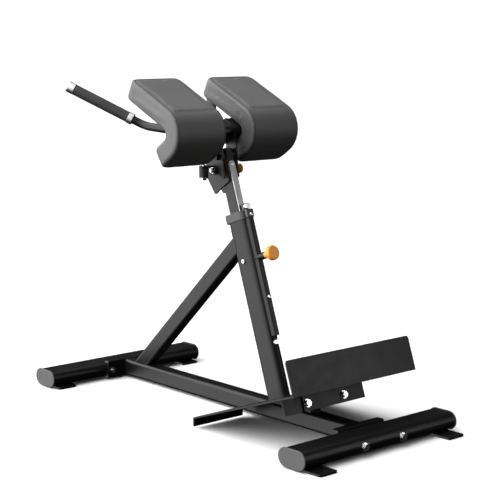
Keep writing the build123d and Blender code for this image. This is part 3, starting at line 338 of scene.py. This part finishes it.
for node_name, node_object in NODES.items():
    chosen = [look for look, names in NODE_LOOKS.items() if node_name in names]
    dress(node_object, chosen[0] if chosen else "frame")


# ------------------------------------------------------------------ mesh helpers
SHARP_ANGLE = math.radians(35.0)
BEAD_RESOLUTION = 3


def new_piece(name, vertices, faces, look):
    """Mesh object with one look, outward normals and smooth shading."""
    mesh = bpy.data.meshes.new(name)
    mesh.from_pydata([tuple(v) for v in vertices], [], faces)
    built = bmesh.new()
    built.from_mesh(mesh)
    bmesh.ops.recalc_face_normals(built, faces=built.faces)
    built.to_mesh(mesh)
    built.free()
    mesh.polygons.foreach_set("use_smooth", [True] * len(mesh.polygons))
    piece = bpy.data.objects.new(name, mesh)
    scene.collection.objects.link(piece)
    dress(piece, look)
    return piece


def applied(piece):
    """Gives a piece the mesh that its modifiers make, and removes them."""
    graph = bpy.context.evaluated_depsgraph_get()
    mesh = bpy.data.meshes.new_from_object(piece.evaluated_get(graph))
    piece.modifiers.clear()
    piece.data = mesh
    return piece


def sharpen(piece):
    """Keeps hard edges crisp on a smooth-shaded piece."""
    piece.data.set_sharp_from_angle(angle=SHARP_ANGLE)
    return piece


def closed_bead(name, places, radius, look):
    """Round bead along a closed line of points."""
    curve = bpy.data.curves.new(name, "CURVE")
    curve.dimensions = "3D"
    curve.bevel_depth = radius
    curve.bevel_resolution = BEAD_RESOLUTION
    line = curve.splines.new("POLY")
    line.points.add(len(places) - 1)
    for point, place in zip(line.points, places):
        point.co = (*place, 1.0)
    line.use_cyclic_u = True
    bead = bpy.data.objects.new(name, curve)
    scene.collection.objects.link(bead)
    curve.materials.append(MATERIALS[look])
    return bead


def lathe(profile, origin, axis, steps=48):
    """Vertices and faces of a closed turned form; the profile holds (radius, height) pairs."""
    axis = Vector(axis).normalized()
    across = axis.orthogonal().normalized()
    third = axis.cross(across)
    vertices, rings = [], []
    for radius, height in profile:
        centre = Vector(origin) + axis * height
        if radius == 0:
            rings.append([len(vertices)])
            vertices.append(centre)
            continue
        rings.append(list(range(len(vertices), len(vertices) + steps)))
        for step in range(steps):
            turn = 2 * math.pi * step / steps
            vertices.append(centre + radius * (across * math.cos(turn) + third * math.sin(turn)))
    faces = []
    for first, second in zip(rings, rings[1:]):
        for step in range(steps):
            after = (step + 1) % steps
            corners = [first[step % len(first)], first[after % len(first)]]
            corners += [second[after % len(second)], second[step % len(second)]]
            faces.append(list(dict.fromkeys(corners)))
    return vertices, faces


def joined(forms):
    """Joins several vertex and face lists into one."""
    vertices, faces = [], []
    for more_vertices, more_faces in forms:
        start = len(vertices)
        vertices += more_vertices
        faces += [[index + start for index in face] for face in more_faces]
    return vertices, faces


def quarter_round(radius, height, size, steps=5):
    """Profile points of a rounded edge that turns from a side into a top."""
    turns = [math.pi / 2 * step / steps for step in range(steps + 1)]
    return [
        (radius - size + size * math.cos(turn), height - size + size * math.sin(turn))
        for turn in turns
    ]


# ------------------------------------------------------------------ bent sheets and pads
CHAIN_COUNTS = (30, 20, 10)
CHAIN_END_GAP = 1e-6
CORNER_STEPS = 14
MIDDLE_STATIONS = 5
MIDDLE_SPACING = 0.012


def bent_point(radius, travel, upper_leg):
    """Side-view point and normal, at a radius from the cross bar and a travel round it."""
    bend = radius * (bend_start - bend_end)
    if travel < upper_leg:
        flat, normal = upper_normal * radius + upper_along * (upper_leg - travel), upper_normal
    elif travel < upper_leg + bend:
        turn = bend_start - (travel - upper_leg) / radius
        normal = Vector((math.cos(turn), math.sin(turn)))
        flat = normal * radius
    else:
        flat = lower_normal * radius + lower_along * (travel - upper_leg - bend)
        normal = lower_normal
    return flat, normal


def bent_chain(radius, upper_leg, lower_leg):
    """Points along one face of a bent slab, with the same count whatever its radius."""
    bend = radius * (bend_start - bend_end)
    stops = []
    start = 0.0
    for length, count in zip((upper_leg, bend, lower_leg), CHAIN_COUNTS):
        stops += [start + length * step / count for step in range(count)]
        start += length
    stops.append(start - CHAIN_END_GAP)
    return [bent_point(radius, stop, upper_leg)[0] for stop in stops]


def bent_slab(inner_r, outer_r, upper_leg, lower_leg, stations):
    """Closed form of slab sections; a station is (y, inset, shortening)."""
    vertices, faces, loops = [], [], []
    for y, inset, shorter in stations:
        legs = (upper_leg - shorter - inset, lower_leg - shorter - inset)
        outer = bent_chain(outer_r - inset, *legs)
        inner = bent_chain(inner_r + inset, *legs)
        loop = outer + inner[::-1]
        loops.append(list(range(len(vertices), len(vertices) + len(loop))))
        vertices += [Vector((bar_x + p.x, y, bar_z + p.y)) for p in loop]
    count = len(loops[0])
    for first, second in zip(loops, loops[1:]):
        for index in range(count):
            after = (index + 1) % count
            faces.append([first[index], first[after], second[after], second[index]])
    for loop in (loops[0], loops[-1]):
        for index in range(count // 2 - 1):
            mate = count - 1 - index
            faces.append([loop[index], loop[index + 1], loop[mate - 1], loop[mate]])
    return vertices, faces


def rounded_stations(low_y, high_y, rim, corner):
    """Stations across a pad, close together at both sides where rims and corners are round."""
    turns = [math.pi / 2 * step / CORNER_STEPS for step in range(CORNER_STEPS + 1)]
    depths = [corner * (1 - math.cos(turn)) for turn in turns]
    middle = [corner + MIDDLE_SPACING * step for step in range(1, MIDDLE_STATIONS + 1)]
    near = []
    for depth in depths + middle:
        inset = rim - math.sqrt(rim * rim - max(0.0, rim - depth) ** 2)
        shorter = corner - math.sqrt(corner * corner - max(0.0, corner - depth) ** 2)
        near.append((depth, inset, shorter))
    first = [(low_y + depth, inset, shorter) for depth, inset, shorter in near]
    second = [(high_y - depth, inset, shorter) for depth, inset, shorter in reversed(near)]
    return first + second


def depth_from_bar(point):
    """How far a point lies out from the cross bar, square to the bent sheet there."""
    flat = Vector((point.x - bar_x, point.z - bar_z))
    turn = math.atan2(flat.y, flat.x)
    if bend_end <= turn <= bend_start:
        return flat.length
    return flat.dot(upper_normal) if turn > bend_start else flat.dot(lower_normal)


PAD_VOXEL = 0.005
PAD_PRESSURE = 4.0
PAD_SWELL = 0.0055
PAD_LEAST_SWELL = 0.0025
CLOTH_QUALITY = 5
SIM_FRAMES = 20


def swell(piece):
    """Fills a pad by a short cloth simulation; its back stays where it is."""
    start = [vertex.co.copy() for vertex in piece.data.vertices]
    normals = [vertex.normal.copy() for vertex in piece.data.vertices]
    back_depth = PAD_INNER_R + PAD_BACK_DEPTH
    held = [index for index, place in enumerate(start) if depth_from_bar(place) < back_depth]
    free = sorted(set(range(len(start))) - set(held))
    group = piece.vertex_groups.new(name="held")
    group.add(held, 1.0, "REPLACE")
    cloth = piece.modifiers.new("cloth", "CLOTH")
    cloth.settings.quality = CLOTH_QUALITY
    cloth.settings.use_pressure = True
    cloth.settings.uniform_pressure_force = PAD_PRESSURE
    cloth.settings.effector_weights.gravity = 0.0
    cloth.settings.vertex_group_mass = "held"
    cloth.point_cache.frame_start = 1
    cloth.point_cache.frame_end = SIM_FRAMES
    for step in range(1, SIM_FRAMES + 1):
        scene.frame_set(step)
    applied(piece)
    piece.vertex_groups.clear()
    for index in free:
        vertex = piece.data.vertices[index]
        risen = (vertex.co - start[index]).dot(normals[index])
        risen = min(PAD_SWELL, max(PAD_LEAST_SWELL, risen))
        vertex.co = start[index] + normals[index] * risen
    for index in held:
        piece.data.vertices[index].co = start[index]
    scene.frame_set(1)


SEAM_INSET = 0.006
SEAM_BEAD_R = 0.0009
SEAM_PROUD = 0.3
SEAM_SPACING = 0.006
SEAM_CORNER_STEPS = 6
SEAM_RAY_START = 0.03
SEAM_RAY_LENGTH = 0.06


def rounded_loop(length, width, radius):
    """Points of a rounded rectangle from (0, 0) to (length, width)."""
    points = []
    corners = (
        ((radius, radius), math.pi), ((length - radius, radius), 1.5 * math.pi),
        ((length - radius, width - radius), 0.0), ((radius, width - radius), 0.5 * math.pi),
    )
    for (centre_s, centre_t), first_turn in corners:
        for step in range(SEAM_CORNER_STEPS + 1):
            turn = first_turn + math.pi / 2 * step / SEAM_CORNER_STEPS
            points.append((centre_s + radius * math.cos(turn), centre_t + radius * math.sin(turn)))
    full = []
    for index, first in enumerate(points):
        second = points[(index + 1) % len(points)]
        gap = math.dist(first, second)
        parts = max(1, round(gap / SEAM_SPACING))
        for part in range(parts):
            share = part / parts
            full.append(tuple(a + (b - a) * share for a, b in zip(first, second)))
    return full


def seam(name, pad_piece, low_y, high_y):
    """Seam bead laid on the pad's outer face, a little inside its edge."""
    mesh = pad_piece.data
    surface = BVHTree.FromPolygons(
        [vertex.co.copy() for vertex in mesh.vertices],
        [tuple(polygon.vertices) for polygon in mesh.polygons],
    )
    bend = PAD_OUTER_R * (bend_start - bend_end)
    length = PAD_UPPER_LEG + bend + PAD_LOWER_LEG - 2 * SEAM_INSET
    width = high_y - low_y - 2 * SEAM_INSET
    places = []
    for travel, sideways in rounded_loop(length, width, PAD_CORNER_R - SEAM_INSET):
        flat, normal = bent_point(PAD_OUTER_R, travel + SEAM_INSET, PAD_UPPER_LEG)
        outward = Vector((normal.x, 0, normal.y))
        y = low_y + SEAM_INSET + sideways
        start = Vector((bar_x + flat.x, y, bar_z + flat.y)) + outward * SEAM_RAY_START
        hit = surface.ray_cast(start, -outward, SEAM_RAY_LENGTH)[0]
        if hit is not None:
            places.append(hit + outward * SEAM_BEAD_R * SEAM_PROUD)
    bead = closed_bead(name, places, SEAM_BEAD_R, "thread")
    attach(bead, "pad_carriage")


PAD_SIDE_INSET = 0.001
for pad_node in ("left_pad", "right_pad"):
    pad_low, pad_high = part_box(pad_node)
    low_y, high_y = pad_low[1] + PAD_SIDE_INSET, pad_high[1] - PAD_SIDE_INSET
    stations = rounded_stations(low_y, high_y, PAD_RIM_R, PAD_CORNER_R)
    slab = bent_slab(PAD_INNER_R, PAD_OUTER_R, PAD_UPPER_LEG, PAD_LOWER_LEG, stations)
    vinyl = new_piece(pad_node + "_vinyl", *slab, "vinyl")
    remesh = vinyl.modifiers.new("remesh", "REMESH")
    remesh.mode = "VOXEL"
    remesh.voxel_size = PAD_VOXEL
    applied(vinyl)
    swell(vinyl)
    vinyl.modifiers.new("rounder", "SUBSURF").levels = 1
    applied(vinyl)
    vinyl.data.polygons.foreach_set("use_smooth", [True] * len(vinyl.data.polygons))
    dress(vinyl, "vinyl")
    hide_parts(pad_node)
    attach(vinyl, "pad_carriage")
    seam(pad_node + "_seam", vinyl, low_y, high_y)

# ------------------------------------------------------------------ bracket between the pads
BRACKET_INNER_R = 0.0129
BRACKET_OUTER_R = 0.0177
BRACKET_LEGS = (0.045, 0.050)
PLATE_CLEARANCE = 0.0003
STRAP_INNER_Y = 0.096
plate_low, plate_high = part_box("near_carriage_plate")
slot_in, slot_out = -plate_high[1] - PLATE_CLEARANCE, -plate_low[1] + PLATE_CLEARANCE
bracket_parts = [
    bent_slab(BRACKET_INNER_R, BRACKET_OUTER_R, *BRACKET_LEGS, [(first, 0, 0), (second, 0, 0)])
    for first, second in (
        (-STRAP_INNER_Y, -slot_out), (-slot_in, slot_in), (slot_out, STRAP_INNER_Y),
    )
]
bracket = sharpen(new_piece("pad_bracket_middle", *joined(bracket_parts), "frame"))
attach(bracket, "pad_carriage")

# ------------------------------------------------------------------ small tilt knob
knob_low, knob_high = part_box("tilt_knob")
KNOB_R = 0.015
KNOB_LENGTH = 0.0315
KNOB_NECK_R = 0.0105
KNOB_NECK_LENGTH = 0.005
KNOB_FLARE_LENGTH = 0.0145
KNOB_FLARE_STEPS = 8
KNOB_RIM_R = 0.004
KNOB_DISH_INSET = 0.008
KNOB_DISH_DEPTH = 0.0006
KNOB_BORE_R = 0.00505
KNOB_BORE_DEPTH = 0.018
flare_turns = [math.pi / 2 * step / KNOB_FLARE_STEPS for step in range(KNOB_FLARE_STEPS + 1)]
flare = [
    (
        KNOB_NECK_R + (KNOB_R - KNOB_NECK_R) * (1 - math.cos(turn)),
        KNOB_NECK_LENGTH + KNOB_FLARE_LENGTH * math.sin(turn),
    )
    for turn in flare_turns
]
dish_height = KNOB_LENGTH - KNOB_DISH_DEPTH
knob_profile = [(0, KNOB_BORE_DEPTH), (KNOB_BORE_R, KNOB_BORE_DEPTH), (KNOB_BORE_R, 0)]
knob_profile += [(KNOB_NECK_R, 0)] + flare + quarter_round(KNOB_R, KNOB_LENGTH, KNOB_RIM_R)
knob_profile += [(KNOB_R - KNOB_DISH_INSET, dish_height), (0, dish_height)]
knob_seat = ((knob_low[0] + knob_high[0]) / 2, knob_low[1], (knob_low[2] + knob_high[2]) / 2)
knob_form = lathe(knob_profile, knob_seat, (0, 1, 0))
tilt_knob = sharpen(new_piece("tilt_knob_small", *knob_form, "orange"))
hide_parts("tilt_knob")
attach(tilt_knob, "tilt_pull_pin")

# ------------------------------------------------------------------ rail screws and collar lug
SCREW_R = 0.006
SCREW_H = 0.004
SCREW_EDGE_R = 0.002
SCREW_STEPS = 32
SOCKET_R = 0.003
SOCKET_DEPTH = 0.0018
RAIL_FACE = 0.0138
LUG_BACK = 0.002
LUG_FACE = 0.0153
LUG_UP = (0.122, 0.148)
LUG_HALF_Y = 0.013
LUG_EDGE_R = 0.003
LUG_EDGE_SEGMENTS = 4
LUG_SCREW_RISE = 0.009
POST_DEPTH = 0.080
LOW_SCREW_UP = -0.121
screw_profile = [(0, 0.0), (SCREW_R, 0.0), (SCREW_R, SCREW_H - SCREW_EDGE_R)]
screw_profile += quarter_round(SCREW_R, SCREW_H, SCREW_EDGE_R)[1:]
screw_profile += [(SOCKET_R, SCREW_H), (SOCKET_R, SCREW_H - SOCKET_DEPTH), (0, SCREW_H - SOCKET_DEPTH)]
screws = joined([
    lathe(screw_profile, post_point(RAIL_FACE, 0, LOW_SCREW_UP), out_of_post, SCREW_STEPS),
    lathe(
        screw_profile, post_point(LUG_FACE, 0, LUG_UP[0] + LUG_SCREW_RISE), out_of_post, SCREW_STEPS
    ),
    lathe(screw_profile, post_point(-POST_DEPTH, 0, LOW_SCREW_UP), -out_of_post, SCREW_STEPS),
])
rail_screw_heads = sharpen(new_piece("rail_screw_heads", *screws, "chrome"))
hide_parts("rail_screws")
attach(rail_screw_heads, "base_frame")

lug_corners = [
    post_point(outwards, sideways, upwards)
    for outwards in (LUG_BACK, LUG_FACE)
    for sideways in (-LUG_HALF_Y, LUG_HALF_Y)
    for upwards in LUG_UP
]
lug_faces = [[0, 1, 3, 2], [4, 6, 7, 5], [0, 4, 5, 1], [2, 3, 7, 6], [0, 2, 6, 4], [1, 5, 7, 3]]
lug = new_piece("collar_rear_lug", lug_corners, lug_faces, "guide")
rounding = lug.modifiers.new("rounding", "BEVEL")
rounding.width = LUG_EDGE_R
rounding.segments = LUG_EDGE_SEGMENTS
applied(lug)
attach(lug, "base_frame")

# ------------------------------------------------------------------ weld round the post's foot
WELD_R = 0.003
WELD_STEPS = 120
WELD_RIPPLE = 0.0004
WELD_RIPPLES = 40
POST_HALF_LENGTH = 0.040
POST_END_R = 0.020
beam_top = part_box("main_beam")[1][2]
lean = math.atan2(-up_post.x, up_post.z)
post_centre = post_point(-POST_HALF_LENGTH, 0, 0)
foot_x = post_centre.x + (post_centre.z - beam_top) * math.tan(lean)
flat_half = POST_HALF_LENGTH - POST_END_R
weld_places = []
for step in range(WELD_STEPS):
    turn = 2 * math.pi * step / WELD_STEPS
    end_shift = math.copysign(flat_half, math.cos(turn))
    reach = (end_shift + POST_END_R * math.cos(turn)) / math.cos(lean)
    ripple = WELD_RIPPLE * math.sin(WELD_RIPPLES * turn)
    weld_places.append((foot_x + reach, (POST_END_R + ripple) * math.sin(turn), beam_top + ripple))
weld = closed_bead("post_weld", weld_places, WELD_R, "frame")
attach(weld, "base_frame")

# ------------------------------------------------------------------ stage, light and camera
FLOOR_SIZE = 30
LIGHT_FROM = Vector((-0.42, -0.72, 0.55)).normalized()
GLOW_START = 0.2
SKY_DARK, SKY_BRIGHT = 0.02, 4.2
BACKDROP_WHITE = 1.05
CAMERA_PLACE = (3.1643, -2.7373, 1.1435)
CAMERA_AZIMUTH = math.radians(48.61)
CAMERA_ELEVATION = math.radians(8.85)
CAMERA_LENS = 100.81
CAMERA_SENSOR = 36.0
CAMERA_REACH = 60.0

bpy.ops.mesh.primitive_plane_add(size=FLOOR_SIZE, location=(0, 0, 0))
floor = bpy.context.object
floor.name = "floor"
floor_graph = Graph("pale_floor")
floor_tone = floor_graph.ramp(floor_graph.noise(1.3, 2.0), [(0.3, 0.86), (0.7, 0.9)])
floor.data.materials.append(floor_graph.finish(floor_tone, 0.65))
floor.visible_diffuse = False
floor.visible_glossy = False

# The camera sees an even white backdrop; every other ray sees a glow from one side.
world = bpy.data.worlds.new("studio")
world.use_nodes = True
sky = world.node_tree
direction = sky.nodes.new("ShaderNodeTexCoord")
facing = sky.nodes.new("ShaderNodeVectorMath")
facing.operation = "DOT_PRODUCT"
facing.inputs[1].default_value = LIGHT_FROM
sky.links.new(direction.outputs["Generated"], facing.inputs[0])
glow = sky.nodes.new("ShaderNodeMapRange")
glow.interpolation_type = "SMOOTHSTEP"
glow.inputs["From Min"].default_value = GLOW_START
glow.inputs["From Max"].default_value = 1.0
glow.inputs["To Min"].default_value = SKY_DARK
glow.inputs["To Max"].default_value = SKY_BRIGHT
sky.links.new(facing.outputs["Value"], glow.inputs["Value"])
rays = sky.nodes.new("ShaderNodeLightPath")
choice = sky.nodes.new("ShaderNodeMix")
sky.links.new(rays.outputs["Is Camera Ray"], choice.inputs[MIX_FACTOR])
sky.links.new(glow.outputs["Result"], choice.inputs[MIX_FLOAT_A])
choice.inputs[MIX_FLOAT_B].default_value = BACKDROP_WHITE
sky.nodes["Background"].inputs["Color"].default_value = (1, 1, 1, 1)
sky.links.new(choice.outputs[MIX_FLOAT_OUT], sky.nodes["Background"].inputs["Strength"])
scene.world = world
scene.view_settings.view_transform = "Standard"


def softbox(name, place, target, size, power):
    """Rectangular studio light aimed at a point."""
    light = bpy.data.lights.new(name, "AREA")
    light.shape = "RECTANGLE"
    light.size, light.size_y = size
    light.energy = power
    lamp = bpy.data.objects.new(name, light)
    scene.collection.objects.link(lamp)
    lamp.location = place
    lamp.rotation_euler = (Vector(target) - Vector(place)).to_track_quat("-Z", "Y").to_euler()


softbox("top_light", (-0.6, 0.4, 3.6), (0, 0, 0.2), (3.4, 3.4), 30)
softbox("rim_light", (2.6, 2.0, 1.2), (0, 0, 0.6), (0.5, 2.4), 12)

camera = bpy.data.objects.new("camera", bpy.data.cameras.new("camera"))
scene.collection.objects.link(camera)
back = Vector((
    math.sin(CAMERA_AZIMUTH) * math.cos(CAMERA_ELEVATION),
    -math.cos(CAMERA_AZIMUTH) * math.cos(CAMERA_ELEVATION),
    math.sin(CAMERA_ELEVATION),
))
camera.location = CAMERA_PLACE
camera.rotation_mode = "QUATERNION"
camera.rotation_quaternion = (-back).to_track_quat("-Z", "Y")
camera.data.sensor_width = CAMERA_SENSOR
camera.data.lens = CAMERA_LENS
camera.data.clip_end = CAMERA_REACH
scene.camera = camera
